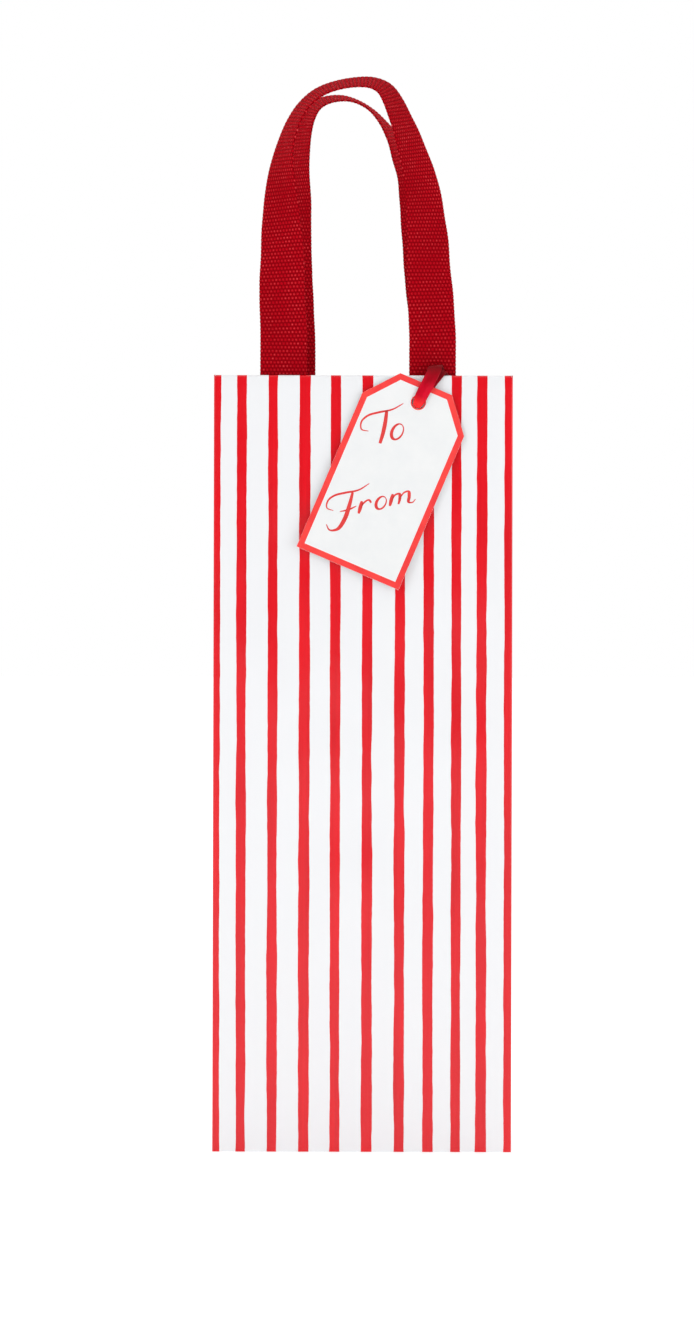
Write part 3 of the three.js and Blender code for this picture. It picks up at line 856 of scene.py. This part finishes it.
# ---------------------------------------------------------------- ribbon
# x, y and z of the ribbon's middle and its half width, from one end inside the bag to the other.
RIBBON_LINE = [
    (31.2, -41.35, 297.0, 3.0), (31.2, -41.35, 315.0, 3.0), (31.2, -41.4, 328.0, 3.0),
    (31.2, -41.7, 331.8, 3.0), (31.0, -42.9, 334.2, 3.0), (30.6, -44.7, 334.0, 3.0),
    (29.9, -46.1, 331.6, 2.9), (28.4, -46.75, 328.4, 2.8), (26.6, -46.8, 324.8, 2.75),
    (25.0, -46.75, 321.8, 2.7), (23.9, -46.65, 319.5, 2.5), (23.1, -46.5, 317.8, 2.1),
    (22.5, -46.1, 316.7, 1.7), (22.4, -45.4, 316.5, 1.5), (22.8, -44.95, 317.4, 1.7),
    (23.6, -44.75, 319.2, 2.2), (25.6, -44.65, 322.8, 2.8), (28.6, -44.55, 327.4, 3.0),
    (31.4, -44.45, 331.0, 3.0), (32.9, -43.6, 332.9, 3.0), (33.2, -42.2, 332.9, 3.0),
    (33.3, -41.75, 331.2, 3.0), (33.3, -41.7, 327.0, 3.0), (33.3, -41.7, 312.0, 3.0),
    (33.3, -41.7, 299.0, 3.0),
]
RIBBON_HALF = 3.0
RIBBON_STEP = 0.35
RIBBON_THICK = 0.22
RIBBON_POINTS = 13
CUP = 0.10
RIPPLE = 0.05

# The run's heading counts where this much of it lies in the face's plane, and turns by this share a step.
HEADING_LIMIT = 0.55
HEADING_SHARE = 0.1


def ribbon():
    s, line = smooth_line(RIBBON_LINE, RIBBON_STEP)
    along = np.gradient(line[:, :3], axis=0)
    along /= np.linalg.norm(along, axis=1)[:, None]
    # The width lies in the face's plane, square to the run. Where the run dives it keeps its last heading.
    flat = along[:, [0, 2]].copy()
    strength = np.linalg.norm(flat, axis=1)
    heading = np.zeros_like(flat)
    last = np.array([0.0, 1.0])
    for i, (run, size) in enumerate(zip(flat, strength)):
        if size > HEADING_LIMIT:
            v = run / size
            if v @ last < -0.2:
                v = -v
            turned = (1 - HEADING_SHARE) * last + HEADING_SHARE * v
            last = v if i == 0 else turned / np.linalg.norm(turned)
        heading[i] = last
    wide = np.stack([heading[:, 1], np.zeros(len(s)), -heading[:, 0]], axis=1)
    normal = np.cross(along, wide)
    normal /= np.linalg.norm(normal, axis=1)[:, None]
    points, uvs = [], []
    for i in range(len(s)):
        half = line[i, 3]
        for k in range(RIBBON_POINTS):
            w = (k / (RIBBON_POINTS - 1) * 2 - 1) * half
            cup = CUP * math.cos(math.pi * w / half) * (RIBBON_HALF / half) ** 1.5
            ripple = RIPPLE * noise.noise(Vector((w * 0.7, s[i] * 0.25, 4.0)))
            points.append((line[i, :3] + wide[i] * w + normal[i] * (cup + ripple)) * MM)
            uvs.append(((w + RIBBON_HALF) * MM, s[i] * MM))
    piece = new_piece("tag_ribbon_band", points, grid_faces(len(s), RIBBON_POINTS), [satin], uvs=uvs)
    thicken(piece, RIBBON_THICK * MM, 0)
    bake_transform(piece)
    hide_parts("tag_ribbon", "tag_ribbon_end")


ribbon()

# ---------------------------------------------------------------- floor, light
FLOOR_HALF = 40
FLOOR_GLOW = 0.34
floor_mesh = bpy.data.meshes.new("floor")
floor_mesh.from_pydata([(x * FLOOR_HALF, y * FLOOR_HALF, 0) for x, y in ((-1, -1), (1, -1), (1, 1), (-1, 1))],
                       [], [(0, 1, 2, 3)])
floor = bpy.data.objects.new("floor", floor_mesh)
scene.collection.objects.link(floor)
floor_paint = Nodes("floor_paint")
floor_paint.set(Base_Color=(0.90, 0.90, 0.90, 1), Roughness=0.9, Specular_IOR_Level=0.1)
floor_paint.set(Emission_Color=(1, 1, 1, 1), Emission_Strength=FLOOR_GLOW)
floor_mesh.materials.append(floor_paint.mat)

# The studio is white all round, with a dark spot in front, behind the camera, so that inks keep their depth.
# Two shades from straight ahead, at y -1: the y where each is at full strength, and its strength at y -1.
STUDIO_SHADES = [(0.35, 0.66), (-0.8, 0.15)]
world = bpy.data.worlds.new("studio")
scene.world = world
world.use_nodes = True
tree = world.node_tree
tree.nodes.clear()
world_out = tree.nodes.new("ShaderNodeOutputWorld")
studio = tree.nodes.new("ShaderNodeBackground")
studio.inputs[0].default_value = (1.0, 1.0, 1.0, 1)
towards = tree.nodes.new("ShaderNodeSeparateXYZ")
tree.links.new(tree.nodes.new("ShaderNodeTexCoord").outputs["Generated"], towards.inputs[0])
strength = tree.nodes.new("ShaderNodeMath")
strength.operation = "MULTIPLY"
for socket, (full_at, start_strength) in zip(strength.inputs, STUDIO_SHADES):
    shade = tree.nodes.new("ShaderNodeMapRange")
    shade.inputs["From Min"].default_value = -1.0
    shade.inputs["From Max"].default_value = full_at
    shade.inputs["To Min"].default_value = start_strength
    shade.inputs["To Max"].default_value = 1.0
    tree.links.new(towards.outputs[1], shade.inputs["Value"])
    tree.links.new(shade.outputs[0], socket)
tree.links.new(strength.outputs[0], studio.inputs[1])
tree.links.new(studio.outputs[0], world_out.inputs[0])

# Each softbox: its place, what it faces, its two sides and its power.
SOFTBOXES = {
    "key": ((-1.4, -1.6, 1.3), (0, 0, 0.2), (0.7, 0.7), 8.0),
    "side": ((1.6, -1.1, 0.35), (0, 0, 0.05), (1.0, 0.6), 4.5),
    "top": ((0.2, 0.2, 2.0), (0, 0, 0.2), (1.0, 1.0), 3.5),
}
for name, (place, target, size, power) in SOFTBOXES.items():
    data = bpy.data.lights.new(name, "AREA")
    data.shape = "RECTANGLE"
    data.size, data.size_y = size
    data.energy = power
    lamp = bpy.data.objects.new(name, data)
    scene.collection.objects.link(lamp)
    lamp.location = place
    lamp.rotation_euler = (Vector(target) - Vector(place)).to_track_quat("-Z", "Y").to_euler()
